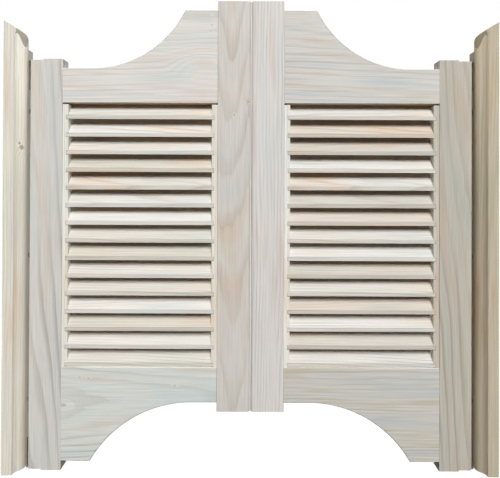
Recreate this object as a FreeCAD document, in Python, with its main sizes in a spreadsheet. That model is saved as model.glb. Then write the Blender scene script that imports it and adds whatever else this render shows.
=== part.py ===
import FreeCAD, Part
import Sketcher

import os

# A pair of louvred cafe swinging doors.  Two half doors hang between two moulded
# posts and swing both ways on pivots let into the ends of their hinge stiles.
#
# Frame: X across the doorway, 0 at the line where the two leaves meet; Y from the
# moulded front face (-Y) to the back (+Y), 0 half way; Z up, 0 at the foot of the
# hinge stiles.  All lengths are millimetres.
#
# The left half is modelled and the right half is its mirror image about X = 0.

V = FreeCAD.Vector
SLATS_PER_LEAF = 15
WALL_HOLES = 3
OUT_DIR = "parts"

# Driving dimensions: alias, value, what it is.
SIZES = [
    # the doorway
    ("leaf_width", 443, "one leaf, from hinge edge to meeting edge"),
    ("leaf_thickness", 30, "stiles and rails, front to back"),
    ("centre_gap", 1, "between the two meeting edges"),
    ("hinge_gap", 4, "between a leaf and the jamb face of its post"),
    # stiles
    ("stile_width", 66.5, "face width of each stile"),
    ("stile_length", 820, "all four stiles are cut to this length"),
    ("meeting_raise", 117, "how much higher the meeting stile is set than the hinge stile"),
    ("horn", 18, "stile running on past the flat of each rail"),
    ("hinge_round", 6, "corner radius of the hinge edge, so that it clears the jamb"),
    ("meeting_round", 7, "corner radius of the meeting edge"),
    ("arris", 1.5, "easing of the stile edges that face the louvres"),
    # rails
    ("rail_height", 70, "rails at their narrow end"),
    ("high_flat", 65, "level part of the top rail beside the meeting stile"),
    ("low_flat", 59, "level part of the top rail beside the hinge stile"),
    ("deep_flat", 58, "level part of the bottom rail beside the hinge stile"),
    ("narrow_flat", 50, "level part of the bottom rail beside the meeting stile"),
    ("rail_arris", 1.2, "easing of the rail edges"),
    # tenons of the rails
    ("tenon_thickness", 10, "a third of the stile"),
    ("tenon_length", 30, "into the stile"),
    ("tenon_shoulder", 15, "from the edge of a rail to its outermost tenon"),
    ("tenon_gap", 24, "between the two tenons of a deep rail end"),
    ("tenon_end_gap", 1, "glue room past the end of a tenon"),
    ("tenon_fit", 0.05, "glue room on each face and edge of a tenon"),
    # louvre strips
    ("strip_width", 11.5, "grooved strip, from the stile to the opening"),
    ("strip_depth", 28, "grooved strip, front to back"),
    ("strip_head_gap", 2.5, "above the strip, under the top rail"),
    ("strip_arris", 0.8, "easing of the strip edges"),
    ("groove_depth", 5, "how far a slat is housed in a strip"),
    ("groove_fit", 0.15, "clearance on each face of a slat in its groove"),
    # slats
    ("slat_thickness", 5.6, "across the slat"),
    ("slat_depth", 27, "from the plumb front edge to the plumb back edge"),
    ("slat_tilt", 49.5, "degrees from level, front edge low"),
    ("slat_end_gap", 0.4, "end of a slat short of the bottom of its groove"),
    ("slat_foot_gap", 0.5, "under the lowest slat"),
    ("slat_head_gap", 0.4, "between the ripped top slat and the top rail"),
    ("top_slat_drop", 32.3, "from the top rail down to the nose of the top slat"),
    ("slat_arris", 0.5, "easing of the two front edges of a slat"),
    # posts
    ("post_width", 34, "from the wall face to the jamb face"),
    ("post_depth", 52, "front to back"),
    ("post_foot_rise", 6, "foot of the post above the foot of the hinge stile"),
    ("post_rise", 67, "top of the post, at the wall, above the head of the hinge stile"),
    ("post_strip", 21, "flat front strip beside the wall"),
    ("quirk", 1.5, "square step between the strip and the ogee"),
    ("mould_depth", 28, "from the front strip back to the end of the ogee"),
    ("post_arris", 1.0, "easing of the post's corners"),
    ("top_slope", 30, "degrees, fall of the post's top towards the door"),
    ("top_round", 20, "radius of the top at the jamb face"),
    ("return_fall", 18, "height of the bevel that ends the moulding at the top"),
    ("return_run", 8, "depth of that bevel, front to back"),
    ("back_start", 4, "from the end of the ogee back to where the post stops lower"),
    ("back_drop", 46, "how much lower the back of the post stops"),
    ("back_round", 5, "corner radius there, at the jamb face"),
    # pivots
    ("pivot_inset", 20, "pivot axis in from the hinge edge"),
    ("bracket_steel", 2, "thickness of a pivot bracket"),
    ("bracket_width", 14, "width of a pivot bracket"),
    ("bracket_leg", 60, "leg of a bracket, let flush into the jamb face"),
    ("bracket_bend", 2.5, "outside radius of the bend"),
    ("bracket_gap", 0.3, "between a bracket arm and the flange that turns on it"),
    ("leg_fit", 0.2, "clearance round a leg in its mortise"),
    ("bore_end_gap", 1, "past the end of the pin, the bush and the barrel"),
    ("notch_room", 0.5, "past the end of a bracket's arm, in the stile's notch"),
    ("flange_steel", 1, "thickness of the bush and barrel flanges"),
    ("flange_lap", 2, "flange beyond the wall of the bush or barrel"),
    ("pin_radius", 4, "top pivot pin"),
    ("pin_length", 17, "below the top bracket"),
    ("running_fit", 0.05, "radial, pin in bush and spindle in barrel"),
    ("bush_wall", 2, "nylon bush"),
    ("spindle_radius", 4.5, "bottom pivot spindle"),
    ("spindle_length", 27, "above the bottom bracket"),
    ("thrust_gap", 0.1, "between the spindle's tip and the cap of the barrel"),
    ("barrel_radius", 11, "closed barrel with the return spring in it"),
    ("barrel_cap", 4, "closed end of the barrel"),
    # screws
    ("screw_radius", 1.75, "shank of a bracket screw"),
    ("screw_length", 25, "bracket screw, with its head"),
    ("screw_head", 3.4, "radius of the countersunk head"),
    ("screw_fit", 0.15, "radial clearance of a screw in its bracket"),
    ("screw_inset", 14, "from the outer end of a leg to its first screw"),
    ("screw_spacing", 34, "between the two screws of a leg"),
    ("wall_hole", 2.75, "radius of the holes for the wall screws"),
    ("wall_sink", 5.5, "radius of the counterbore at the jamb face"),
    ("wall_sink_depth", 8, "depth of that counterbore"),
    ("wall_hole_inset", 10, "from the back of the post to the wall holes"),
    ("wall_hole_first", 130, "from the foot of the post to the first wall hole"),
    ("wall_hole_spacing", 290, "between wall holes"),
]

# Places worked out from the driving dimensions, in the left half of the doorway.
PLACES = [
    ("half_depth", "(sizes.mould_depth + sizes.leaf_thickness) / 2"),
    ("leaf_mid_y", "half_depth - sizes.leaf_thickness / 2"),
    ("leaf_x", "-sizes.centre_gap / 2 - sizes.leaf_width"),
    ("jamb_x", "leaf_x - sizes.hinge_gap"),
    ("post_x", "jamb_x - sizes.post_width"),
    ("meeting_x", "-sizes.centre_gap / 2 - sizes.stile_width"),
    ("panel_x", "leaf_x + sizes.stile_width"),
    ("panel_width", "sizes.leaf_width - 2 * sizes.stile_width"),
    ("bottom_rail_z", "sizes.horn"),
    ("rail_deep", "sizes.rail_height + sizes.meeting_raise"),
    ("panel_bottom", "bottom_rail_z + rail_deep"),
    ("panel_top", "sizes.stile_length - sizes.horn - sizes.rail_height"),
    ("panel_height", "panel_top - panel_bottom"),
    ("top_run", "panel_width - sizes.high_flat - sizes.low_flat"),
    ("top_arc", "(top_run ^ 2 + sizes.meeting_raise ^ 2) / (2 * sizes.meeting_raise)"),
    ("bottom_run", "panel_width - sizes.deep_flat - sizes.narrow_flat"),
    ("bottom_arc", "(bottom_run ^ 2 + sizes.meeting_raise ^ 2) / (2 * sizes.meeting_raise)"),
    # slats
    ("slat_pitch", "(panel_height - sizes.slat_foot_gap - sizes.top_slat_drop) / slat_steps"),
    ("slat_edge", "sizes.slat_thickness / cos(sizes.slat_tilt)"),
    ("slat_rise", "sizes.slat_depth * tan(sizes.slat_tilt)"),
    ("slat_front_y", "leaf_mid_y - sizes.slat_depth / 2"),
    ("slat_x", "panel_x + sizes.strip_width - sizes.groove_depth + sizes.slat_end_gap"),
    ("slat_length", "panel_width - 2 * (slat_x - panel_x)"),
    ("groove_rise", "sizes.groove_fit / cos(sizes.slat_tilt)"),
    ("groove_run_out", "(sizes.strip_depth - sizes.slat_depth) / 2 + sizes.strip_arris"),
    # posts
    ("post_length", "sizes.stile_length - sizes.post_foot_rise + sizes.post_rise"),
    ("ogee_half_x", "(sizes.post_width - sizes.post_strip) / 2"),
    ("ogee_half_y", "(sizes.mould_depth - sizes.quirk) / 2"),
    ("ogee_arc", "(ogee_half_x ^ 2 + ogee_half_y ^ 2) / (2 * ogee_half_x)"),
    ("round_run", "sizes.top_round * (1 - sin(sizes.top_slope))"),
    ("round_fall", "sizes.top_round * cos(sizes.top_slope)"),
    ("slope_run", "sizes.post_width - round_run"),
    ("slope_fall", "slope_run * tan(sizes.top_slope)"),
    ("mould_run", "sizes.post_width - sizes.post_strip"),
    ("mould_top", "post_length - sizes.post_strip * tan(sizes.top_slope)"),
    # pivots
    ("pivot_x", "leaf_x + sizes.pivot_inset"),
    ("reach", "sizes.pivot_inset + sizes.hinge_gap"),
    ("arm_end", "sizes.bracket_width / 2"),
    ("notch_depth", "sizes.bracket_steel + sizes.bracket_gap"),
    ("bush_radius", "sizes.pin_radius + sizes.running_fit + sizes.bush_wall"),
    ("bush_length", "sizes.pin_length - sizes.bracket_gap"),
    ("notch_run", "sizes.pivot_inset + arm_end + sizes.notch_room"),
    ("bush_rim", "bush_radius + sizes.flange_lap"),
    ("barrel_rim", "sizes.barrel_radius + sizes.flange_lap"),
    ("barrel_bore", "sizes.spindle_length - sizes.bracket_gap + sizes.thrust_gap"),
    ("barrel_length", "barrel_bore + sizes.barrel_cap"),
    ("screw_sink", "sizes.screw_head - sizes.screw_radius"),
]


# ---------------------------------------------------------------- the document

doc = FreeCAD.newDocument("cafe_doors")
finished = []


def make_sheets():
    """Put the driving dimensions and the places worked out from them in two sheets."""
    sizes = doc.addObject("Spreadsheet::Sheet", "sizes")
    for row, (alias, value, note) in enumerate(SIZES, start=1):
        sizes.set(f"A{row}", note)
        sizes.set(f"B{row}", str(value))
        sizes.setAlias(f"B{row}", alias)
    places = doc.addObject("Spreadsheet::Sheet", "places")
    rows = [("slat_steps", f"{SLATS_PER_LEAF} - 1")] + PLACES
    for row, (alias, formula) in enumerate(rows, start=1):
        places.set(f"A{row}", alias)
        places.set(f"B{row}", "=" + formula)
        places.setAlias(f"B{row}", alias)
    doc.recompute()


def number(formula):
    """Value of a formula that names cells of the sheets."""
    return float(doc.getObject("sizes").evalExpression(formula))


def keep(piece):
    """List a finished sub-part, to be written under its label."""
    finished.append(piece)
    return piece


def place(piece, x, y, z):
    """Bind a piece's place to formulas."""
    piece.setExpression("Placement.Base.x", x)
    piece.setExpression("Placement.Base.y", y)
    piece.setExpression("Placement.Base.z", z)
    return piece


def new_body(label, x, y, z):
    """A body for one piece, placed in the doorway."""
    body = doc.addObject("PartDesign::Body", label)
    body.Label = label
    return place(body, x, y, z)


# ---------------------------------------------------------------- sketches

def new_sketch(body, role, offset="0"):
    """A sketch on one of the body's own planes, moved along its normal."""
    sketch = body.newObject("Sketcher::SketchObject", body.Name + "_sketch")
    plane = next(part for part in body.Origin.OriginFeatures if part.Role == role)
    sketch.AttachmentSupport = [(plane, "")]
    sketch.MapMode = "FlatFace"
    sketch.setExpression("AttachmentOffset.Base.z", offset)
    return sketch


def bind(sketch, kind, formula, *where):
    """One dimension of a sketch, bound to a formula."""
    index = sketch.addConstraint(Sketcher.Constraint(kind, *where, number(formula)))
    sketch.setExpression(f"Constraints[{index}]", formula)


def arc_between(start, end, radius, side):
    """The shorter arc from start to end, its centre left (+1) or right (-1) of the way."""
    half = (end - start) * 0.5
    left = V(-half.y, half.x, 0)
    left.normalize()
    rise = max(radius ** 2 - half.Length ** 2, 0) ** 0.5
    centre = start + half + left * (side * rise)
    middle = centre - left * (side * radius)
    return Part.Arc(start, middle, end)


def outline(sketch, corners, arcs=None):
    """Closed outline through corners of two formulas each.

    arcs maps the number of a corner to (radius formula, side): the stretch that
    leaves that corner is then an arc, its centre on the left (+1) or right (-1).
    """
    arcs = arcs or {}
    points = [V(number(x), number(y), 0) for x, y in corners]
    count = len(points)
    heads = []
    tails = []
    for index, start in enumerate(points):
        end = points[(index + 1) % count]
        if index in arcs:
            radius, side = arcs[index]
            sketch.addGeometry(arc_between(start, end, number(radius), side), False)
            # a sketched arc always runs anticlockwise, so its ends swap on one side
            heads.append(1 if side > 0 else 2)
            tails.append(2 if side > 0 else 1)
        else:
            sketch.addGeometry(Part.LineSegment(start, end), False)
            heads.append(1)
            tails.append(2)
    for index in range(count):
        following = (index + 1) % count
        sketch.addConstraint(
            Sketcher.Constraint("Coincident", index, tails[index], following, heads[following]))
    for index, (x, y) in enumerate(corners):
        bind(sketch, "DistanceX", x, -1, 1, index, heads[index])
        bind(sketch, "DistanceY", y, -1, 1, index, heads[index])
    for index, (radius, _) in arcs.items():
        bind(sketch, "Radius", radius, index)
    return sketch


def circles(sketch, centres, radius):
    """Circles of one radius round several centres."""
    for index, (x, y) in enumerate(centres):
        centre = V(number(x), number(y), 0)
        sketch.addGeometry(Part.Circle(centre, V(0, 0, 1), number(radius)), False)
        bind(sketch, "DistanceX", x, -1, 1, index, 3)
        bind(sketch, "DistanceY", y, -1, 1, index, 3)
        bind(sketch, "Radius", radius, index)
    return sketch


def rectangle(sketch, left, bottom, right, top):
    """An upright rectangle between two corners."""
    return outline(sketch, [(left, bottom), (right, bottom), (right, top), (left, top)])


def bar_section(sketch, width, depth, left_ease, right_ease, rounded=True):
    """Section of a bar from X = 0 to width, centred on Y, its corners rounded or bevelled."""
    near = f"-{depth} / 2"
    far = f"{depth} / 2"
    corners = [
        (left_ease, near), (f"{width} - {right_ease}", near),
        (width, f"{near} + {right_ease}"), (width, f"{far} - {right_ease}"),
        (f"{width} - {right_ease}", far), (left_ease, far),
        ("0", f"{far} - {left_ease}"), ("0", f"{near} + {left_ease}"),
    ]
    arcs = {1: (right_ease, 1), 3: (right_ease, 1), 5: (left_ease, 1), 7: (left_ease, 1)}
    return outline(sketch, corners, arcs if rounded else None)


# ---------------------------------------------------------------- features

def pad(body, sketch, length, symmetric=False):
    """Extrude a sketch along its plane's normal, or to both sides."""
    feature = body.newObject("PartDesign::Pad", body.Name + "_pad")
    feature.Profile = sketch
    feature.SideType = "Symmetric" if symmetric else "One side"
    feature.setExpression("Length", length)
    return feature


def pocket(body, sketch, depth, forward=False):
    """Cut a sketch against its plane's normal, or along it where forward is true."""
    before = solid_of(body).Volume
    feature = body.newObject("PartDesign::Pocket", body.Name + "_pocket")
    feature.Profile = sketch
    feature.Reversed = forward
    feature.setExpression("Length", depth)
    doc.recompute()
    if not feature.Shape.Volume < before:
        raise RuntimeError(f"a pocket of {body.Label} cuts nothing")
    return feature


def sweep(body, start, end):
    """Cut the straight-sided space between two like outlines."""
    before = solid_of(body).Volume
    feature = body.newObject("PartDesign::SubtractiveLoft", body.Name + "_swept")
    feature.Profile = start
    feature.Sections = [end]
    feature.Ruled = True
    doc.recompute()
    if not feature.Shape.Volume < before:
        raise RuntimeError(f"a sweep of {body.Label} cuts nothing")
    return feature


def cut_through(body, sketch):
    """Cut a sketch through the whole body, both ways from its plane."""
    feature = body.newObject("PartDesign::Pocket", body.Name + "_cut")
    feature.Profile = sketch
    feature.SideType = "Two sides"
    feature.Type = "ThroughAll"
    feature.Type2 = "ThroughAll"
    return feature


def revolve(body, sketch):
    """Turn a half section about the body's Z axis."""
    feature = body.newObject("PartDesign::Revolution", body.Name + "_turned")
    feature.Profile = sketch
    feature.ReferenceAxis = (sketch, ["V_Axis"])
    feature.Angle = 360
    return feature


def solid_of(body):
    """The body's shape so far, in its own frame."""
    doc.recompute()
    return body.Tip.Shape


def ease(body, kind, measure, size, wanted):
    """Round or bevel the edges whose middle point and direction pass a test."""
    shape = solid_of(body)
    base = body.Tip
    names = []
    for index, edge in enumerate(shape.Edges, start=1):
        middle = edge.valueAt((edge.FirstParameter + edge.LastParameter) / 2)
        ends = edge.Vertexes[-1].Point - edge.Vertexes[0].Point
        if wanted(middle, ends):
            names.append(f"Edge{index}")
    feature = body.newObject("PartDesign::" + kind, body.Name + "_eased")
    feature.Base = (base, names)
    feature.setExpression(measure, size)
    return feature


def round_edges(body, radius, wanted):
    """Fillet the edges that pass a test."""
    return ease(body, "Fillet", "Radius", radius, wanted)


def bevel_edges(body, size, wanted):
    """Chamfer the edges that pass a test."""
    return ease(body, "Chamfer", "Size", size, wanted)


def same(first, second):
    """Equal lengths, to a hundredth of a millimetre."""
    return abs(first - second) < 0.01


# ---------------------------------------------------------------- stiles and rails

# Tenons of each joint: side of the leaf, foot and head of the rail's end, number of tenons.
JOINTS = [
    ("hinge", "places.panel_top", "(sizes.stile_length - sizes.horn)", 1),
    ("hinge", "places.bottom_rail_z", "places.panel_bottom", 2),
    ("meeting", "places.panel_top", "(places.panel_top + places.rail_deep)", 2),
    ("meeting", "(places.bottom_rail_z + sizes.meeting_raise)", "places.panel_bottom", 1),
]


def tenon_spans(side, rail=None):
    """Foot and head of the tenons on one side of the leaf, of one rail (0 or 1) or of both."""
    rows = [joint for joint in JOINTS if joint[0] == side]
    if rail is not None:
        rows = [rows[rail]]
    spans = []
    for _, foot, head, count in rows:
        low = f"({foot} + sizes.tenon_shoulder)"
        high = f"({head} - sizes.tenon_shoulder)"
        if count == 1:
            spans.append((low, high))
        else:
            spans.append((low, f"(({foot} + {head} - sizes.tenon_gap) / 2)"))
            spans.append((f"(({foot} + {head} + sizes.tenon_gap) / 2)", high))
    return spans


def mortises(body, side, face, foot, forward):
    """Mortises for the tenons of one side, sunk from the stile's inner edge at X = face."""
    across = "(sizes.tenon_thickness / 2 + sizes.tenon_fit)"
    for low, high in tenon_spans(side):
        mouth = rectangle(new_sketch(body, "YZ_Plane", face),
                          f"-{across}", f"{low} - sizes.tenon_fit - ({foot})",
                          across, f"{high} + sizes.tenon_fit - ({foot})")
        pocket(body, mouth, "sizes.tenon_length + sizes.tenon_end_gap", forward)


def hinge_stile():
    """Stile that carries the pivots: notched at both ends and bored for bush and barrel."""
    body = new_body("left_hinge_stile", "places.leaf_x", "places.leaf_mid_y", "0")
    section = bar_section(new_sketch(body, "XY_Plane"), "sizes.stile_width",
                          "sizes.leaf_thickness", "sizes.hinge_round", "sizes.arris")
    pad(body, section, "sizes.stile_length")
    # notches that the bracket arms lie in, open all round so that the leaf can swing
    foot = rectangle(new_sketch(body, "XZ_Plane"), "-sizes.hinge_gap", "-places.notch_depth",
                     "places.notch_run", "places.notch_depth")
    cut_through(body, foot)
    head = rectangle(new_sketch(body, "XZ_Plane"),
                     "-sizes.hinge_gap", "sizes.stile_length - places.notch_depth",
                     "places.notch_run", "sizes.stile_length + places.notch_depth")
    cut_through(body, head)
    # bores for the barrel and the bush, each with a recess for its flange
    pivot = [("sizes.pivot_inset", "0")]
    flange_floor = "places.notch_depth + sizes.flange_steel"
    barrel_floor = "places.notch_depth + places.barrel_length + sizes.bore_end_gap"
    bush_floor = "sizes.bracket_steel + sizes.pin_length + sizes.bore_end_gap"
    for offset, upward, bores in (
            ("0", True, (("sizes.barrel_radius", barrel_floor),
                         ("places.barrel_rim", flange_floor))),
            ("sizes.stile_length", False, (("places.bush_radius", bush_floor),
                                           ("places.bush_rim", flange_floor)))):
        for radius, depth in bores:
            bore = circles(new_sketch(body, "XY_Plane", offset), pivot, radius)
            pocket(body, bore, depth, forward=upward)
    mortises(body, "hinge", "sizes.stile_width", "0", forward=False)
    return keep(body)


def meeting_stile():
    """Stile beside the centre line, set higher than the hinge stile."""
    body = new_body("left_meeting_stile", "places.meeting_x", "places.leaf_mid_y",
                    "sizes.meeting_raise")
    section = bar_section(new_sketch(body, "XY_Plane"), "sizes.stile_width",
                          "sizes.leaf_thickness", "sizes.arris", "sizes.meeting_round")
    pad(body, section, "sizes.stile_length")
    mortises(body, "meeting", "0", "sizes.meeting_raise", forward=True)
    return keep(body)


def finish_rail(body, section, base, rail):
    """Thickness, tenons at both ends and eased edges of a rail."""
    pad(body, section, "sizes.leaf_thickness", symmetric=True)
    for side, root, tip in (("hinge", "0", "-sizes.tenon_length"),
                            ("meeting", "places.panel_width",
                             "places.panel_width + sizes.tenon_length")):
        for low, high in tenon_spans(side, rail):
            cheek = rectangle(new_sketch(body, "XZ_Plane"),
                              root, f"{low} - ({base})", tip, f"{high} - ({base})")
            pad(body, cheek, "sizes.tenon_thickness", symmetric=True)
    half = number("sizes.leaf_thickness / 2")
    width = number("places.panel_width")

    def on_a_long_arris(middle, _ends):
        on_face = same(abs(middle.y), half)
        return on_face and not same(middle.x, 0) and not same(middle.x, width)

    bevel_edges(body, "sizes.rail_arris", on_a_long_arris)
    return keep(body)


def top_rail():
    """Top rail: low beside the hinge stile, swept up in an arc to the meeting stile."""
    body = new_body("left_top_rail", "places.panel_x", "places.leaf_mid_y", "places.panel_top")
    corners = [
        ("0", "0"),
        ("places.panel_width", "0"),
        ("places.panel_width", "places.rail_deep"),
        ("places.panel_width - sizes.high_flat", "places.rail_deep"),
        ("sizes.low_flat", "sizes.rail_height"),
        ("0", "sizes.rail_height"),
    ]
    section = outline(new_sketch(body, "XZ_Plane"), corners, {3: ("places.top_arc", -1)})
    return finish_rail(body, section, "places.panel_top", 0)


def bottom_rail():
    """Bottom rail: deep beside the hinge stile, arched up to the meeting stile."""
    body = new_body("left_bottom_rail", "places.panel_x", "places.leaf_mid_y",
                    "places.bottom_rail_z")
    corners = [
        ("0", "0"),
        ("sizes.deep_flat", "0"),
        ("places.panel_width - sizes.narrow_flat", "sizes.meeting_raise"),
        ("places.panel_width", "sizes.meeting_raise"),
        ("places.panel_width", "places.rail_deep"),
        ("0", "places.rail_deep"),
    ]
    section = outline(new_sketch(body, "XZ_Plane"), corners, {1: ("places.bottom_arc", -1)})
    return finish_rail(body, section, "places.bottom_rail_z", 1)


# ---------------------------------------------------------------- louvres

def slat_section(sketch, y, z, grow_y="0", grow_z="0"):
    """Section of a slat: plumb edges and parallel faces that rise from the nose at y, z.

    grow_y carries the section on past both edges, and grow_z past both faces.
    """
    slope = "tan(sizes.slat_tilt)"
    low = f"{z} - {grow_z} - {grow_y} * {slope}"
    high = f"{z} + {grow_z} + places.slat_edge - {grow_y} * {slope}"
    run = f"(places.slat_rise + 2 * {grow_y} * {slope})"
    near = f"{y} - {grow_y}"
    far = f"{y} + sizes.slat_depth + {grow_y}"
    corners = [(near, low), (far, f"{low} + {run}"), (far, f"{high} + {run}"), (near, high)]
    return outline(sketch, corners)


def side_strip(label, x, beside_hinge):
    """Strip with one slanted, through groove for the end of each slat."""
    body = new_body(label, x, "places.leaf_mid_y", "places.panel_bottom")
    section = bar_section(new_sketch(body, "XY_Plane"), "sizes.strip_width", "sizes.strip_depth",
                          "sizes.strip_arris", "sizes.strip_arris", rounded=False)
    pad(body, section, "places.panel_height - sizes.strip_head_gap")
    face = "sizes.strip_width" if beside_hinge else "0"
    groove = slat_section(new_sketch(body, "YZ_Plane", face), "-sizes.slat_depth / 2",
                          "sizes.slat_foot_gap", "places.groove_run_out", "places.groove_rise")
    housing = pocket(body, groove, "sizes.groove_depth", forward=not beside_hinge)
    pattern = body.newObject("PartDesign::LinearPattern", body.Name + "_grooves")
    pattern.Originals = [housing]
    upright = next(part for part in body.Origin.OriginFeatures if part.Role == "Z_Axis")
    pattern.Direction = (upright, [""])
    pattern.Occurrences = SLATS_PER_LEAF
    pattern.setExpression("Length", "places.slat_pitch * places.slat_steps")
    body.Tip = pattern
    return keep(body)


def slat(number_from_top):
    """One louvre slat; the top one is ripped narrower to close against the top rail."""
    label = f"left_slat_{number_from_top:02d}"
    steps_up = SLATS_PER_LEAF - number_from_top
    body = new_body(label, "places.slat_x", "places.slat_front_y",
                    f"places.panel_bottom + sizes.slat_foot_gap + {steps_up} * places.slat_pitch")
    section = slat_section(new_sketch(body, "YZ_Plane"), "0", "0")
    pad(body, section, "places.slat_length")

    def on_the_front_edge(middle, ends):
        return same(middle.y, 0) and abs(ends.x) > 1

    bevel_edges(body, "sizes.slat_arris", on_the_front_edge)
    if number_from_top == 1:
        above_rail = rectangle(new_sketch(body, "YZ_Plane"),
                               "-sizes.slat_depth", "sizes.top_slat_drop - sizes.slat_head_gap",
                               "2 * sizes.slat_depth", "2 * (places.slat_rise + places.slat_edge)")
        cut_through(body, above_rail)
    return keep(body)


# ---------------------------------------------------------------- posts

def jamb_holes(body, heights, radius, depth, inset):
    """Round holes in the jamb face of a post, at one distance from its back."""
    centres = [(f"sizes.post_depth - {inset}", height) for height in heights]
    sketch = circles(new_sketch(body, "YZ_Plane", "sizes.post_width"), centres, radius)
    return pocket(body, sketch, depth)


def post():
    """Moulded post: ogee on the front corner, sloped and rounded top, bracket mortises."""
    body = new_body("left_post", "places.post_x", "-places.half_depth", "sizes.post_foot_rise")
    ease_by = "sizes.post_arris"
    middle_x = "sizes.post_strip + places.ogee_half_x"
    middle_y = "sizes.quirk + places.ogee_half_y"
    corners = [
        (ease_by, "0"),
        ("sizes.post_strip", "0"),
        ("sizes.post_strip", "sizes.quirk"),
        (middle_x, middle_y),
        ("sizes.post_width", "sizes.mould_depth"),
        ("sizes.post_width", f"sizes.post_depth - {ease_by}"),
        (f"sizes.post_width - {ease_by}", "sizes.post_depth"),
        ("0", "sizes.post_depth"),
        ("0", ease_by),
    ]
    arcs = {2: ("places.ogee_arc", -1), 3: ("places.ogee_arc", 1),
            5: (ease_by, 1), 8: (ease_by, 1)}
    pad(body, outline(new_sketch(body, "XY_Plane"), corners, arcs), "places.post_length")

    above = "places.post_length + sizes.top_round"
    beyond = "sizes.post_width + sizes.top_round"
    shoulder = "places.post_length - places.slope_fall"
    jamb_top = f"{shoulder} - places.round_fall"
    top = [
        ("0", "places.post_length"),
        ("places.slope_run", shoulder),
        ("sizes.post_width", jamb_top),
        (beyond, jamb_top),
        (beyond, above),
        ("0", above),
    ]
    cut_through(body, outline(new_sketch(body, "XZ_Plane"), top, {1: ("sizes.top_round", -1)}))

    # behind the moulding the post stops lower, with its jamb corner rounded
    step = "places.post_length - sizes.back_drop"
    step_end = f"{step} - sizes.back_round"
    back = [
        ("-sizes.post_arris", step),
        ("sizes.post_width - sizes.back_round", step),
        ("sizes.post_width", step_end),
        (beyond, step_end),
        (beyond, above),
        ("-sizes.post_arris", above),
    ]
    behind = outline(new_sketch(body, "XZ_Plane", "-sizes.mould_depth - sizes.back_start"),
                     back, {1: ("sizes.back_round", -1)})
    pocket(body, behind, "sizes.post_depth")

    # the moulding ends in a bevel that falls forwards, following the ogee and the top's slope
    bevel = [
        ("sizes.quirk - sizes.return_run", "places.mould_top - 2 * sizes.return_fall"),
        ("sizes.quirk + 2 * sizes.return_run", "places.mould_top + sizes.return_fall"),
        ("sizes.quirk - sizes.return_run", "places.mould_top + sizes.return_fall"),
    ]
    shifted = [(f"{y} + 2 * (sizes.mould_depth - sizes.quirk)",
                f"{z} - 2 * places.mould_run * tan(sizes.top_slope)") for y, z in bevel]
    sweep(body, outline(new_sketch(body, "YZ_Plane", "sizes.post_strip"), bevel),
          outline(new_sketch(body, "YZ_Plane", "sizes.post_strip + 2 * places.mould_run"),
                  shifted))

    leg_y = "(sizes.mould_depth + sizes.leaf_thickness / 2)"
    half_leg = "(sizes.bracket_width / 2 + sizes.leg_fit)"
    stile_foot = "-sizes.post_foot_rise"
    stile_head = "sizes.stile_length - sizes.post_foot_rise"
    leg = "(sizes.bracket_leg + sizes.leg_fit)"
    for low, high in ((stile_foot, f"{stile_foot} + {leg}"),
                      (f"{stile_head} - {leg}", f"{stile_head} + sizes.leg_fit")):
        mortise = rectangle(new_sketch(body, "YZ_Plane", "sizes.post_width"),
                            f"{leg_y} - {half_leg}", low, f"{leg_y} + {half_leg}", high)
        pocket(body, mortise, "sizes.bracket_steel")
    pilots = [f"{height} - sizes.post_foot_rise" for height in screw_heights()]
    jamb_holes(body, pilots, "sizes.screw_radius", "sizes.screw_length",
               f"(sizes.post_depth - {leg_y})")

    wall_holes = [f"sizes.wall_hole_first + {step} * sizes.wall_hole_spacing"
                  for step in range(WALL_HOLES)]
    jamb_holes(body, wall_holes, "sizes.wall_hole", "sizes.post_width", "sizes.wall_hole_inset")
    jamb_holes(body, wall_holes, "sizes.wall_sink", "sizes.wall_sink_depth",
               "sizes.wall_hole_inset")
    return keep(body)


# ---------------------------------------------------------------- pivots

def screw_heights():
    """Heights of the bracket screws: two in the bottom leg and two in the top leg."""
    from_end = ["sizes.screw_inset", "(sizes.screw_inset + sizes.screw_spacing)"]
    return from_end + [f"sizes.stile_length - {inset}" for inset in from_end]


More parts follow.
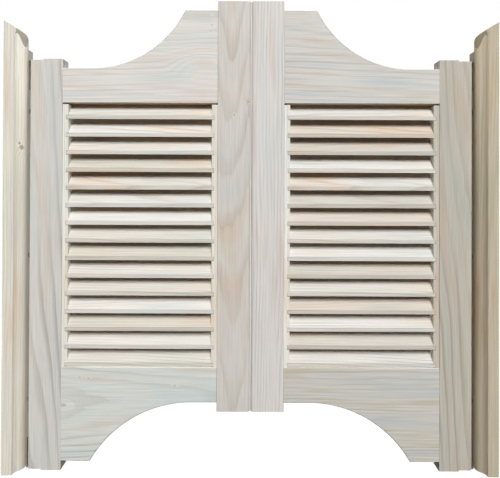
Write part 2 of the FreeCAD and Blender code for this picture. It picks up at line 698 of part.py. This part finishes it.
def bracket(label, z, leg_up):
    """Bent steel angle: the arm carries the pivot, the leg is screwed to the jamb.

    Its own frame has the pivot axis at X = 0 and the outer face of the arm at Z = 0.
    """
    body = new_body(label, "places.pivot_x", "places.leaf_mid_y", z)
    sign = "" if leg_up else "-"
    side = -1 if leg_up else 1
    back = "-places.reach - sizes.bracket_steel"
    corners = [
        (back, f"{sign}sizes.bracket_leg"),
        (back, f"{sign}sizes.bracket_bend"),
        (f"{back} + sizes.bracket_bend", "0"),
        ("places.arm_end", "0"),
        ("places.arm_end", f"{sign}sizes.bracket_steel"),
        ("-places.reach", f"{sign}sizes.bracket_steel"),
        ("-places.reach", f"{sign}sizes.bracket_leg"),
    ]
    profile = outline(new_sketch(body, "XZ_Plane"), corners, {1: ("sizes.bracket_bend", -side)})
    pad(body, profile, "sizes.bracket_width", symmetric=True)
    end = number("places.arm_end")

    def on_the_arm_corners(middle, ends):
        return same(middle.x, end) and abs(ends.z) > 1

    round_edges(body, "places.arm_end - sizes.running_fit", on_the_arm_corners)
    inner_face = "-places.reach"
    from_arm = [f"{sign}sizes.screw_inset", f"{sign}(sizes.screw_inset + sizes.screw_spacing)"]
    for height in from_arm:
        sink = body.newObject("PartDesign::SubtractiveCone", body.Name + "_countersink")
        sink.setExpression("Radius1", "sizes.screw_head + sizes.screw_fit")
        sink.setExpression("Radius2", "sizes.screw_radius + sizes.screw_fit")
        sink.setExpression("Height", "places.screw_sink")
        sink.Placement = FreeCAD.Placement(V(), FreeCAD.Rotation(V(0, 1, 0), -90))
        place(sink, inner_face, "0", height)
    holes = circles(new_sketch(body, "YZ_Plane", inner_face),
                    [("0", height) for height in from_arm],
                    "sizes.screw_radius + sizes.screw_fit")
    pocket(body, holes, "sizes.bracket_steel")
    return body


def top_bracket():
    """Top bracket, with the hole that the pin is riveted in."""
    body = bracket("left_top_bracket", "sizes.stile_length", leg_up=False)
    pin_hole = circles(new_sketch(body, "XY_Plane"), [("0", "0")], "sizes.pin_radius")
    pocket(body, pin_hole, "sizes.bracket_steel")
    return keep(body)


def bottom_bracket():
    """Bottom bracket, with the spindle that stands on its arm."""
    body = bracket("left_bottom_bracket", "0", leg_up=True)
    spindle = circles(new_sketch(body, "XY_Plane", "sizes.bracket_steel"), [("0", "0")],
                      "sizes.spindle_radius")
    pad(body, spindle, "sizes.spindle_length")
    return keep(body)


def turned(label, z, half_section):
    """A turned piece on the pivot axis, from its half section of radius and height."""
    body = new_body(label, "places.pivot_x", "places.leaf_mid_y", z)
    revolve(body, outline(new_sketch(body, "XZ_Plane"), half_section))
    return keep(body)


def top_pin():
    """Pivot pin, its head flush in the top bracket and its tip chamfered."""
    tip = "-sizes.bracket_steel - sizes.pin_length"
    return turned("left_top_pin", "sizes.stile_length", [
        ("0", "0"),
        ("0", tip),
        ("sizes.pin_radius - sizes.flange_steel", tip),
        ("sizes.pin_radius", f"{tip} + sizes.flange_steel"),
        ("sizes.pin_radius", "0"),
    ])


def top_bush():
    """Flanged nylon bush that the top pin turns in."""
    bore = "sizes.pin_radius + sizes.running_fit"
    return turned("left_top_bush", "sizes.stile_length - places.notch_depth", [
        (bore, "0"),
        (bore, "-places.bush_length"),
        ("places.bush_radius", "-places.bush_length"),
        ("places.bush_radius", "-sizes.flange_steel"),
        ("places.bush_rim", "-sizes.flange_steel"),
        ("places.bush_rim", "0"),
    ])


def spring_barrel():
    """Flanged, closed barrel of the return spring, its cap resting on the spindle."""
    bore = "sizes.spindle_radius + sizes.running_fit"
    return turned("left_spring_barrel", "places.notch_depth", [
        (bore, "0"),
        ("places.barrel_rim", "0"),
        ("places.barrel_rim", "sizes.flange_steel"),
        ("sizes.barrel_radius", "sizes.flange_steel"),
        ("sizes.barrel_radius", "places.barrel_length"),
        ("0", "places.barrel_length"),
        ("0", "places.barrel_bore"),
        (bore, "places.barrel_bore"),
    ])


def bracket_screws():
    """Countersunk screws of both brackets of a post, as one group."""
    sideways = FreeCAD.Rotation(V(0, 1, 0), -90)
    screws = []
    for height in screw_heights():
        head = doc.addObject("Part::Cone", "screw_head")
        head.setExpression("Radius1", "sizes.screw_head")
        head.setExpression("Radius2", "sizes.screw_radius")
        head.setExpression("Height", "places.screw_sink")
        shank = doc.addObject("Part::Cylinder", "screw_shank")
        shank.setExpression("Radius", "sizes.screw_radius")
        shank.setExpression("Height", "sizes.screw_length - places.screw_sink")
        for piece, depth in ((head, "0"), (shank, "places.screw_sink")):
            piece.Placement = FreeCAD.Placement(V(), sideways)
            place(piece, f"places.jamb_x - {depth}", "places.leaf_mid_y", height)
        screw = doc.addObject("Part::MultiFuse", "bracket_screw")
        screw.Shapes = [head, shank]
        screws.append(screw)
    group = doc.addObject("Part::Compound", "left_bracket_screws")
    group.Label = "left_bracket_screws"
    group.Links = screws
    return keep(group)


# ---------------------------------------------------------------- the doors

def left_half():
    """Every piece of the left half."""
    post()
    top_bracket()
    top_pin()
    bottom_bracket()
    bracket_screws()
    hinge_stile()
    meeting_stile()
    top_rail()
    bottom_rail()
    side_strip("left_hinge_strip", "places.panel_x", beside_hinge=True)
    side_strip("left_meeting_strip",
               "places.panel_x + places.panel_width - sizes.strip_width", beside_hinge=False)
    for number_from_top in range(1, SLATS_PER_LEAF + 1):
        slat(number_from_top)
    top_bush()
    spring_barrel()


def right_half():
    """The same pieces mirrored about the centre line."""
    for piece in list(finished):
        label = piece.Label.replace("left_", "right_")
        twin = doc.addObject("Part::Mirroring", label)
        twin.Label = label
        twin.Source = piece
        twin.Base = V(0, 0, 0)
        twin.Normal = V(1, 0, 0)
        keep(twin)


def check_document():
    """Stop if anything in the document failed, or if a sub-part isn't a valid shape."""
    for thing in doc.Objects:
        if "Invalid" in thing.State or "Error" in thing.State:
            raise RuntimeError(f"{thing.Label} failed: {thing.State}")
    for piece in finished:
        shape = piece.Shape
        if shape.isNull() or not shape.isValid() or not shape.Solids:
            raise RuntimeError(f"{piece.Label} has no valid solid")


def write_parts():
    """Write one STEP file for each sub-part, named by its label."""
    os.makedirs(OUT_DIR, exist_ok=True)
    for piece in finished:
        piece.Shape.exportStep(f"{OUT_DIR}/{piece.Label}.step")


make_sheets()
left_half()
right_half()
doc.recompute()
check_document()
write_parts()
print(len(finished), "sub-parts written")
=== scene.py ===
"""Louvred cafe swinging doors of bare wood, hung between two moulded posts.

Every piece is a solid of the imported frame.  This script gives each board its own cut
of timber and each fitting its metal or nylon, then adds the light, floor and camera.
"""

import math

import bpy
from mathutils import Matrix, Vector


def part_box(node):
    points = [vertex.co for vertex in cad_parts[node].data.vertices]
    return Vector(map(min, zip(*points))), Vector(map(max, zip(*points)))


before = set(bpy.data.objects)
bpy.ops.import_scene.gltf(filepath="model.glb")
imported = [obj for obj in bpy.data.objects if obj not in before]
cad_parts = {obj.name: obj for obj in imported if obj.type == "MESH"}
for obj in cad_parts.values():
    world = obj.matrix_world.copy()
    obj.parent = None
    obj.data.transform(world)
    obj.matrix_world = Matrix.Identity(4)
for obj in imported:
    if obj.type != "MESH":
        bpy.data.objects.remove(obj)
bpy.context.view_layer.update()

MM = 0.001
SIDES = ("left", "right")


# ---------------------------------------------------------------- colours and nodes

def paint(text):
    """Linear colour of an sRGB hex code."""
    parts = [int(text[place:place + 2], 16) / 255 for place in (1, 3, 5)]
    linear = [part / 12.92 if part <= 0.04045 else ((part + 0.055) / 1.055) ** 2.4
              for part in parts]
    return (*linear, 1)


def add(tree, kind, inputs, stops=(), **settings):
    """Add one node and return its outputs.

    inputs are its values and links, and settings its properties.  stops are for a node
    with a colour ramp: pairs of a position and a hex code or grey level.
    """
    made = tree.nodes.new("ShaderNode" + kind)
    for name, value in settings.items():
        setattr(made, name, value)
    for key, value in inputs.items():
        if isinstance(value, bpy.types.NodeSocket):
            tree.links.new(value, made.inputs[key])
        else:
            made.inputs[key].default_value = value
    if stops:
        band = made.color_ramp.elements
        while len(band) < len(stops):
            band.new(0.5)
        for element, (position, value) in zip(band, stops):
            element.position = position
            element.color = paint(value) if isinstance(value, str) else (value, value, value, 1)
    return made.outputs


def every(size):
    """Scale of a pattern whose marks come once in a size given in mm."""
    return 1 / (size * MM)


def new_material(name):
    """An empty material, with the shader that every finish ends in."""
    made = bpy.data.materials.new(name)
    made.use_nodes = True
    tree = made.node_tree
    tree.nodes.clear()
    shader = add(tree, "BsdfPrincipled", {})
    add(tree, "OutputMaterial", {"Surface": shader["BSDF"]})
    return made, tree, shader["BSDF"].node


def dress(node, finish):
    """Give every slot of a frame piece one material."""
    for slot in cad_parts[node].material_slots:
        slot.material = finish


# ---------------------------------------------------------------- bare timber

# Mix node sockets for colours
FACTOR, FIRST, SECOND, RESULT = 0, 6, 7, 2

# Sizes of the wood's patterns, in mm.  They were settled.
WANDER_SIZE, WANDER_REACH = 71.4, 26      # slow bends of the rings, and how far they go
WOBBLE_SIZE, WOBBLE_REACH = 13.3, 2.2     # short bends of the rings
TINT_BAND = 16.1                          # pink and cool bands
STRENGTH_BAND = 26.3                      # years with a stronger or fainter line
FIBRE_SIZE = 2.1    # coarsest fibre streaks: real ones are finer and wouldn't show
PORE_SIZE = 1.1     # pores: real ones are some 0.3 mm across and wouldn't show

# Scale along the grain, where the scale across it is 1: the smaller, the longer the marks
BEND_ALONG, BAND_ALONG, PORE_ALONG, FIBRE_ALONG = 0.16, 0.06, 0.09, 0.02

# A knot's parts, in knot radii: how far it pushes the rings, how far round it that
# reaches, and where its core begins and ends to fade.  Its length is 1 / KNOT_ALONG.
KNOT_PUSH, KNOT_REACH, CORE_FULL, CORE_EDGE, KNOT_ALONG = 2.2, 5, 0.5, 1.3, 0.6

# How far a face turns along the grain where the darker ends, end grain with painted shade on it,
# start to show and where they are full
END_OF_LEVEL_BOARD = (0.12, 0.42)
END_OF_STANDING_BOARD = (0.03, 0.16)

LATE_WOOD = "#897867"
PORE_SHADE = "#9C8468"
# end grain's colour, made darker and greyer than end grain alone: painted shade
END_GRAIN_AND_PAINTED_SHADE = "#6E6650"
# painted shade: a browner, darker tint multiplied onto undersides, for the shade under the top
# rails and between the slats
UNDERSIDE_PAINTED_SHADE = "#EDD0AE"


def sawn_wood(name, centre, level, pith, lean, ring, line, tints, knots=(), under=None):
    """Bare planed paulownia, as one board cut from a log.

    centre  the board's middle, in mm
    level   True where the grain runs along X, False where it stands along Z
    pith    where the middle of the log lies from the board's middle: across the face
            and back from it, in mm
    lean    how much the rings widen along the grain: this makes arches on the face
    ring    spacing of the growth rings, in mm
    line    how dark the thin late wood is, 0 to 1
    tints   hex codes: the ground, its pink bands and its cool bands
    knots   (along, across, radius, how strong its core is, its hex code) from the board's
            middle, in mm
    under   the direction of an underside that gets painted shade, a browner and darker tint, if any

    What it gives the eye: growth rings as thin brown lines, straight or arched, soft
    pink and greenish bands that follow them, and fine fibres with short dark pores.
    """
    finish, tree, shader = new_material(name)
    place = add(tree, "TexCoord", {})
    turn = (0, -math.pi / 2, 0) if level else (0, 0, 0)
    x, y, z = (value * MM for value in centre)
    shift = (z, -y, -x) if level else (-x, -y, -z)
    board = add(tree, "Mapping", {"Vector": place["Object"], "Rotation": turn,
                                  "Location": shift})["Vector"]

    # slow and short bends of the rings, both drawn out along the grain
    stretched = add(tree, "Mapping", {"Vector": board, "Scale": (1, 1, BEND_ALONG)})["Vector"]
    wander = add(tree, "TexNoise", {"Vector": stretched, "Scale": every(WANDER_SIZE),
                                    "Detail": 2, "Roughness": 0.45})["Fac"]
    wobble = add(tree, "TexNoise", {"Vector": stretched, "Scale": every(WOBBLE_SIZE),
                                    "Detail": 2, "Roughness": 0.5})["Fac"]

    # distance from the pith, widened along the grain and bent
    from_pith = add(tree, "Mapping", {"Vector": board, "Scale": (1, 1, 0),
                                      "Location": (-pith[0] * MM, -pith[1] * MM, 0)})["Vector"]
    radius = add(tree, "VectorMath", {0: from_pith}, operation="LENGTH")["Value"]
    along = add(tree, "SeparateXYZ", {"Vector": board})["Z"]
    for amount, reach in ((along, lean), (wander, WANDER_REACH * MM),
                          (wobble, WOBBLE_REACH * MM)):
        radius = add(tree, "Math", {0: amount, 1: reach, 2: radius},
                     operation="MULTIPLY_ADD")[0]

    # each knot pushes the rings round itself
    cores = []
    for knot_along, knot_across, size, depth, tint in knots:
        spot = add(tree, "Mapping", {"Vector": board, "Scale": (1, 0, KNOT_ALONG),
                                     "Location": (-knot_across * MM, 0,
                                                  -KNOT_ALONG * knot_along * MM)})["Vector"]
        away = add(tree, "VectorMath", {0: spot}, operation="LENGTH")["Value"]
        push = add(tree, "MapRange", {"Value": away, "From Min": 0,
                                      "From Max": KNOT_REACH * size * MM,
                                      "To Min": KNOT_PUSH * size * MM, "To Max": 0},
                   interpolation_type="SMOOTHERSTEP")["Result"]
        radius = add(tree, "Math", {0: radius, 1: push}, operation="ADD")[0]
        core = add(tree, "MapRange", {"Value": away, "From Min": CORE_FULL * size * MM,
                                      "From Max": CORE_EDGE * size * MM,
                                      "To Min": depth, "To Max": 0},
                   interpolation_type="SMOOTHSTEP")["Result"]
        cores.append((core, tint))

    # bands of tint that follow the rings and fade slowly along the grain
    years = add(tree, "CombineXYZ", {"X": radius, "Z": along})["Vector"]
    years = add(tree, "Mapping", {"Vector": years, "Scale": (1, 1, BAND_ALONG)})["Vector"]
    broad = add(tree, "TexNoise", {"Vector": years, "Scale": every(TINT_BAND), "Detail": 3,
                                   "Roughness": 0.55})["Fac"]
    ground, pink, cool = tints
    colour = add(tree, "ValToRGB", {"Fac": broad},
                 stops=[(0.30, cool), (0.47, ground), (0.55, ground), (0.72, pink)])["Color"]

    # late wood: a thin line that rises slowly and ends sharply, fainter in some years
    phase = add(tree, "Math", {0: radius, 1: ring * MM}, operation="DIVIDE")[0]
    year = add(tree, "Math", {0: phase}, operation="FRACT")[0]
    late = add(tree, "ValToRGB", {"Fac": year},
               stops=[(0.0, 0.4), (0.09, 0.0), (0.62, 0.0), (0.88, 0.8), (0.96, 1.0)])["Color"]
    strong = add(tree, "TexNoise", {"Vector": years, "Scale": every(STRENGTH_BAND),
                                    "Detail": 1})["Fac"]
    strong = add(tree, "MapRange", {"Value": strong, "From Min": 0.35, "From Max": 0.68,
                                    "To Min": 0.15 * line, "To Max": line})["Result"]
    late = add(tree, "Math", {0: late, 1: strong}, operation="MULTIPLY")[0]
    colour = add(tree, "Mix", {FACTOR: late, FIRST: colour, SECOND: paint(LATE_WOOD)},
                 data_type="RGBA")[RESULT]

    # fibres along the grain, and short pores
    fine = add(tree, "Mapping", {"Vector": board, "Scale": (1, 1, FIBRE_ALONG)})["Vector"]
    fibre = add(tree, "TexNoise", {"Vector": fine, "Scale": every(FIBRE_SIZE), "Detail": 4,
                                   "Roughness": 0.6})["Fac"]
    streak = add(tree, "ValToRGB", {"Fac": fibre}, stops=[(0.32, 0.84), (0.68, 1.07)])["Color"]
    colour = add(tree, "Mix", {FACTOR: 0.75, FIRST: colour, SECOND: streak},
                 data_type="RGBA", blend_type="MULTIPLY")[RESULT]
    dashes = add(tree, "Mapping", {"Vector": board, "Scale": (1, 1, PORE_ALONG)})["Vector"]
    pores = add(tree, "TexVoronoi", {"Vector": dashes, "Scale": every(PORE_SIZE)})["Distance"]
    pores = add(tree, "MapRange", {"Value": pores, "From Min": 0.10, "From Max": 0.20,
                                   "To Min": 0.22, "To Max": 0})["Result"]
    colour = add(tree, "Mix", {FACTOR: pores, FIRST: colour, SECOND: paint(PORE_SHADE)},
                 data_type="RGBA")[RESULT]
    for core, tint in cores:
        colour = add(tree, "Mix", {FACTOR: core, FIRST: colour, SECOND: paint(tint)},
                     data_type="RGBA")[RESULT]

    #     cut ends are darker, also where a standing board ends in a steep slope: partly end grain,
    #     and partly painted shade, as the dark grey-green goes past what end grain shows
    starts, full = END_OF_LEVEL_BOARD if level else END_OF_STANDING_BOARD
    facing = add(tree, "SeparateXYZ", {"Vector": place["Normal"]})["X" if level else "Z"]
    facing = add(tree, "Math", {0: facing}, operation="ABSOLUTE")[0]
    end_grain_and_shade_mask = add(tree, "MapRange", {"Value": facing, "From Min": starts, "From Max": full,
                                 "To Min": 0, "To Max": 0.7})["Result"]
    colour = add(tree, "Mix", {FACTOR: end_grain_and_shade_mask, FIRST: colour, SECOND: paint(END_GRAIN_AND_PAINTED_SHADE)},
                 data_type="RGBA")[RESULT]

    # painted shade: undersides that face this direction are tinted browner and darker
    if under is not None:
        painted_shade_mask = add(tree, "VectorMath", {0: place["Normal"], 1: under},
                    operation="DOT_PRODUCT")["Value"]
        painted_shade_mask = add(tree, "MapRange", {"Value": painted_shade_mask, "From Min": 0.85,
                                       "From Max": 0.95})["Result"]
        colour = add(tree, "Mix", {FACTOR: painted_shade_mask, FIRST: colour, SECOND: paint(UNDERSIDE_PAINTED_SHADE)},
                     data_type="RGBA", blend_type="MULTIPLY")[RESULT]

    # late wood and fibres stand up, pores are sunk
    relief = add(tree, "Math", {0: late, 1: 0.6, 2: fibre}, operation="MULTIPLY_ADD")[0]
    relief = add(tree, "Math", {0: relief, 1: pores}, operation="SUBTRACT")[0]
    bump = add(tree, "Bump", {"Strength": 0.28, "Distance": 0.25 * MM, "Height": relief})
    rough = add(tree, "MapRange", {"Value": fibre, "From Min": 0.3, "From Max": 0.7,
                                   "To Min": 0.58, "To Max": 0.72})["Result"]
    tree.links.new(colour, shader.inputs["Base Color"])
    tree.links.new(rough, shader.inputs["Roughness"])
    tree.links.new(bump["Normal"], shader.inputs["Normal"])
    shader.inputs["Specular IOR Level"].default_value = 0.06
    return finish


def middle_of(node):
    """Middle of a frame piece, in mm."""
    low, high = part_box(node)
    return [(low[axis] + high[axis]) / 2 / MM for axis in range(3)]


KNOT = "#7A5638"
TAN_EYE = "#DDCDB8"

# Each board: grain level or standing, pith across and back, lean, ring spacing, line
# strength, tints (ground, pink, cool), knots.
# The right post, right hinge stile and right hinge strip are given darker, browner tints than
# their left-hand twins.
BOARDS = {
    "left_post": (False, (60, 30), 0.01, 5.0, 0.25,
                  ("#E6E1D5", "#E2D1BC", "#DADCCE"),
                  ((195, 12, 3, 0.55, KNOT), (203, 9, 1.6, 0.6, KNOT))),
    "right_post": (False, (-70, 35), -0.01, 5.5, 0.30,
                   ("#C5BAA4", "#C1AC90", "#B7B29A"), ()),
    "left_hinge_stile": (False, (-55, 90), 0.04, 11.0, 0.42,
                         ("#D3D2CD", "#D2C6BA", "#C7CDCC"), ()),
    "right_hinge_stile": (False, (60, 80), -0.05, 11.0, 0.45,
                          ("#C2BDB2", "#C0B1A0", "#B6B9AF"), ()),
    "left_meeting_stile": (False, (-7, 54), -0.07, 10.0, 0.28,
                           ("#D5D1CA", "#D3C4B5", "#CACCC9"),
                           ((182, 0, 1.3, 0.5, KNOT), (208, 28, 1.5, 0.6, KNOT))),
    "right_meeting_stile": (False, (85, 30), 0.008, 6.0, 0.36,
                            ("#DDDAD6", "#D8CCC5", "#D4D9D8"), ()),
    "left_top_rail": (True, (-90, 60), 0.02, 9.0, 0.26,
                      ("#E0DED9", "#DFD3CA", "#D6DBD9"),
                      ((128, 13, 12, 0.42, TAN_EYE), (143, -85, 1.0, 0.3, KNOT),
                       (143, -64, 1.1, 0.35, KNOT), (141, -51, 1.2, 0.4, KNOT))),
    "right_top_rail": (True, (-80, 70), -0.03, 9.0, 0.30,
                       ("#D5D4CF", "#D2C6B8", "#CACFCE"), ()),
    "left_bottom_rail": (True, (-20, 80), 0.05, 9.0, 0.36,
                         ("#DADDD8", "#D9D3C7", "#CFD9D9"),
                         ((-150, -18, 4, 0.3, KNOT), (-118, -73, 1.2, 0.5, KNOT),
                          (-100, -71, 1.2, 0.4, KNOT), (72, -57, 1.5, 0.45, KNOT))),
    "right_bottom_rail": (True, (-120, 60), 0.01, 6.0, 0.38,
                          ("#CFCEC7", "#C7BEA9", "#C3C8C7"), ()),
    "left_hinge_strip": (False, (50, 40), 0.01, 5.0, 0.20,
                         ("#EEEFE6", "#EAE1D0", "#E4E8DD"), ()),
    "left_meeting_strip": (False, (-60, 40), 0.01, 5.0, 0.20,
                           ("#EAE4D8", "#E6D6C2", "#DEDDCF"), ()),
    "right_hinge_strip": (False, (55, 40), 0.01, 5.0, 0.20,
                          ("#CFC9BE", "#CEBDA9", "#C4C6BC"), ()),
    "right_meeting_strip": (False, (-45, 40), 0.01, 5.0, 0.20,
                            ("#EFEEE7", "#EBDFCF", "#E3E6DD"), ()),
}
# the top rails' undersides get painted shade
UNDER_A_TOP_RAIL = (0, 0, -1)
for node, (level, pith, lean, ring, line, tints, knots) in BOARDS.items():
    dress(node, sawn_wood("bare_planed_paulownia_" + node, middle_of(node), level, pith,
                          lean, ring, line, tints, knots,
                          under=UNDER_A_TOP_RAIL if node.endswith("top_rail") else None))

# Slats are ripped from four batches a side and dealt out, so no two neighbours match.
# Each batch has its own pith across and back, and lean.
BATCH_CUTS = (((-70, 60), -0.04), ((-30, 75), -0.02), ((10, 90), 0.0), ((50, 105), 0.02))
BATCH_TINTS = {
    "left": (("#D8D5CC", "#DCCEBE", "#CFD2CB"), ("#DCD9D2", "#E0D0BE", "#D3D6D1"),
             ("#D3CEC3", "#DAC7B2", "#CBCBC2"), ("#DFDDD7", "#E0D4C6", "#D7DAD6")),
    "right": (("#D8D6CF", "#D9CABA", "#CFD2CC"), ("#CDC8BF", "#D0BDA9", "#C5C5BD"),
              ("#DCDBD5", "#DCD0C2", "#D3D6D1"), ("#D3CABF", "#D6C1AB", "#C9C6BD")),
}
SLAT_DEAL = (0, 3, 1, 2, 0, 1, 3, 0, 2, 1, 0, 3, 2, 1, 0)
SLAT_RING, SLAT_LINE = 6.0, 0.32
# the slats' undersides, facing back and down, get painted shade
UNDER_A_SLAT = (0, 0.76, -0.65)
for side in SIDES:
    timber = [sawn_wood(f"bare_planed_paulownia_{side}_slats_{number}",
                        middle_of(f"{side}_slat_08"), True, pith, lean, SLAT_RING, SLAT_LINE,
                        tints, under=UNDER_A_SLAT)
              for number, ((pith, lean), tints)
              in enumerate(zip(BATCH_CUTS, BATCH_TINTS[side]), start=1)]
    for number, batch in enumerate(SLAT_DEAL, start=1):
        dress(f"{side}_slat_{number:02d}", timber[batch])


# ---------------------------------------------------------------- fittings

# Sizes of the patterns on steel and nylon, in mm.  They were settled.
STEEL_CLOUD = 6.2
TOOL_MARK = 0.7     # real tool marks are finer and wouldn't show
NYLON_MOTTLE = 4.2


def worked_steel(name, tint, dull, scratch, rough, grain):
    """Plated or ground steel.

    tint and dull are hex codes of the bright and the clouded metal, scratch how deep the
    tool marks are, rough the lowest roughness, and grain the scale of the marks in X, Y
    and Z.  What it gives the eye: a dull grey shine, broken by cloudy patches and by
    fine tool marks.
    """
    finish, tree, shader = new_material(name)
    place = add(tree, "TexCoord", {})["Object"]
    cloud = add(tree, "TexNoise", {"Vector": place, "Scale": every(STEEL_CLOUD), "Detail": 4,
                                   "Roughness": 0.6})["Fac"]
    lay = add(tree, "Mapping", {"Vector": place, "Scale": grain})["Vector"]
    marks = add(tree, "TexNoise", {"Vector": lay, "Scale": every(TOOL_MARK),
                                   "Detail": 2})["Fac"]
    colour = add(tree, "ValToRGB", {"Fac": cloud}, stops=[(0.35, dull), (0.65, tint)])["Color"]
    shine = add(tree, "MapRange", {"Value": cloud, "From Min": 0.3, "From Max": 0.7,
                                   "To Min": rough + 0.14, "To Max": rough})["Result"]
    bump = add(tree, "Bump", {"Strength": scratch, "Distance": 0.05 * MM, "Height": marks})
    tree.links.new(colour, shader.inputs["Base Color"])
    tree.links.new(shine, shader.inputs["Roughness"])
    tree.links.new(bump["Normal"], shader.inputs["Normal"])
    shader.inputs["Metallic"].default_value = 1
    return finish


def moulded_nylon(name):
    """Natural nylon: a milky off-white, with soft mould mottle and a low, waxy shine."""
    finish, tree, shader = new_material(name)
    place = add(tree, "TexCoord", {})["Object"]
    mottle = add(tree, "TexNoise", {"Vector": place, "Scale": every(NYLON_MOTTLE),
                                    "Detail": 3})["Fac"]
    colour = add(tree, "ValToRGB", {"Fac": mottle},
                 stops=[(0.35, "#D9D6C8"), (0.65, "#E6E4DA")])["Color"]
    rough = add(tree, "MapRange", {"Value": mottle, "To Min": 0.35, "To Max": 0.5})["Result"]
    bump = add(tree, "Bump", {"Strength": 0.15, "Distance": 0.05 * MM, "Height": mottle})
    tree.links.new(colour, shader.inputs["Base Color"])
    tree.links.new(rough, shader.inputs["Roughness"])
    tree.links.new(bump["Normal"], shader.inputs["Normal"])
    shader.inputs["Subsurface Weight"].default_value = 0.08
    return finish


bent_steel = worked_steel("zinc_plated_bent_steel", "#9C9D9A", "#80817E", 0.20, 0.58,
                          (1, 1, 0.15))
FITTINGS = {
    "top_bracket": bent_steel,
    "bottom_bracket": bent_steel,
    "top_pin": worked_steel("ground_steel_pin", "#A6A6A7", "#8E8E90", 0.15, 0.45,
                            (0.1, 0.1, 1)),
    "spring_barrel": worked_steel("zinc_plated_barrel", "#9B9C99", "#7F807D", 0.18, 0.55,
                                  (0.2, 0.2, 1)),
    "bracket_screws": worked_steel("zinc_plated_screws", "#A3A093", "#87847A", 0.15, 0.52,
                                   (0.3, 1, 1)),
    "top_bush": moulded_nylon("natural_nylon_bush"),
}
for side in SIDES:
    for piece, finish in FITTINGS.items():
        dress(f"{side}_{piece}", finish)


# ---------------------------------------------------------------- floor, light, camera

FLOOR_REACH = 6.0       # half its width, in metres
FLOOR_HEIGHT = -0.45    # well below the hanging doors
FLOOR_GLOW = 0.9        # share of plain white that the eye sees in it
FRONT_AND_ABOVE = (0, -0.5, 0.866)
MIDDLE = (0, 0, 0.45)


def seen_directly(tree, ray):
    """1 where the eye sees a thing straight, in a reflection or through glass, else 0."""
    straight = add(tree, "Math", {0: ray["Is Camera Ray"], 1: ray["Is Glossy Ray"]},
                   operation="MAXIMUM")[0]
    return add(tree, "Math", {0: straight, 1: ray["Is Transmission Ray"]},
               operation="MAXIMUM")[0]


def floor():
    """Pale floor, near white to the eye: its glow leaves next to nothing of the shadow."""
    corners = [(x * FLOOR_REACH, y * FLOOR_REACH, FLOOR_HEIGHT)
               for x, y in ((-1, -1), (1, -1), (1, 1), (-1, 1))]
    mesh = bpy.data.meshes.new("floor")
    mesh.from_pydata(corners, [], [(0, 1, 2, 3)])
    made = bpy.data.objects.new("floor", mesh)
    bpy.context.scene.collection.objects.link(made)
    finish, tree, shader = new_material("pale_floor")
    shader.inputs["Roughness"].default_value = 0.9
    ray = add(tree, "LightPath", {})
    # pale to the eye, but dark to the light that it throws back up into the louvres
    pale = add(tree, "Mix", {FACTOR: ray["Is Diffuse Ray"], FIRST: paint("#F4F4F4"),
                             SECOND: paint("#33281E")}, data_type="RGBA")[RESULT]
    tree.links.new(pale, shader.inputs["Base Color"])
    share = add(tree, "Math", {0: seen_directly(tree, ray), 1: FLOOR_GLOW},
                operation="MULTIPLY")[0]
    glow = add(tree, "Emission", {"Color": (1, 1, 1, 1), "Strength": 1})["Emission"]
    mixed = add(tree, "MixShader", {0: share, 1: shader.outputs["BSDF"], 2: glow})["Shader"]
    output = next(item for item in tree.nodes if item.bl_idname == "ShaderNodeOutputMaterial")
    tree.links.new(mixed, output.inputs["Surface"])
    mesh.materials.append(finish)


def sky(front, around):
    """White to the eye and in reflections; to the object a soft glow from front and above.

    front is the glow's level where it comes from ahead and above, around its level from
    everywhere else.
    """
    world = bpy.data.worlds.new("white_studio")
    bpy.context.scene.world = world
    world.use_nodes = True
    tree = world.node_tree
    tree.nodes.clear()
    direct = seen_directly(tree, add(tree, "LightPath", {}))
    way = add(tree, "TexCoord", {})["Generated"]
    ahead = add(tree, "VectorMath", {0: way, 1: FRONT_AND_ABOVE},
                operation="DOT_PRODUCT")["Value"]
    glow = add(tree, "MapRange", {"Value": ahead, "From Min": 0.45, "From Max": 0.95,
                                  "To Min": around, "To Max": front},
               interpolation_type="SMOOTHSTEP")["Result"]
    level = add(tree, "MapRange", {"Value": direct, "To Min": glow, "To Max": 1})["Result"]
    back = add(tree, "Background", {"Color": (1, 1, 1, 1), "Strength": level})["Background"]
    add(tree, "OutputWorld", {"Surface": back})


def lamp(name, place, wide, high, power):
    """A soft light of a width and a height, at a place and turned to the doors' middle."""
    light = bpy.data.lights.new(name, "AREA")
    light.shape = "RECTANGLE"
    light.size = wide
    light.size_y = high
    light.energy = power
    made = bpy.data.objects.new(name, light)
    bpy.context.scene.collection.objects.link(made)
    made.location = place
    away = made.location - Vector(MIDDLE)
    made.rotation_euler = away.to_track_quat("Z", "Y").to_euler()


def camera():
    """Straight on and close, a little above the middle of the louvres, held a touch askew."""
    data = bpy.data.cameras.new("front_view")
    data.lens = 33.7
    data.sensor_width = 36
    data.shift_y = -0.1036
    made = bpy.data.objects.new("front_view", data)
    bpy.context.scene.collection.objects.link(made)
    made.location = (-0.0016, -0.936, 0.559)
    made.rotation_euler = (math.radians(90.34), math.radians(-0.22), 0)
    bpy.context.scene.camera = made


floor()
sky(0.1, 0.01)
lamp("key_light", (1.1, -8.1, 7.3), 5.5, 5.5, 1400)
# long and thin, in line with the tilt of the slats, so that it stays out of their gaps
lamp("back_light", (-0.4, 6.5, 8.06), 6, 0.3, 1050)
# tall and narrow, edge on to the leaves, so that they light the posts' outer faces and little else
lamp("left_light", (-8, 0, 2), 0.3, 3, 430)
lamp("right_light", (8, 0, 2), 0.3, 3, 430)
camera()
bpy.context.scene.view_settings.view_transform = "Standard"
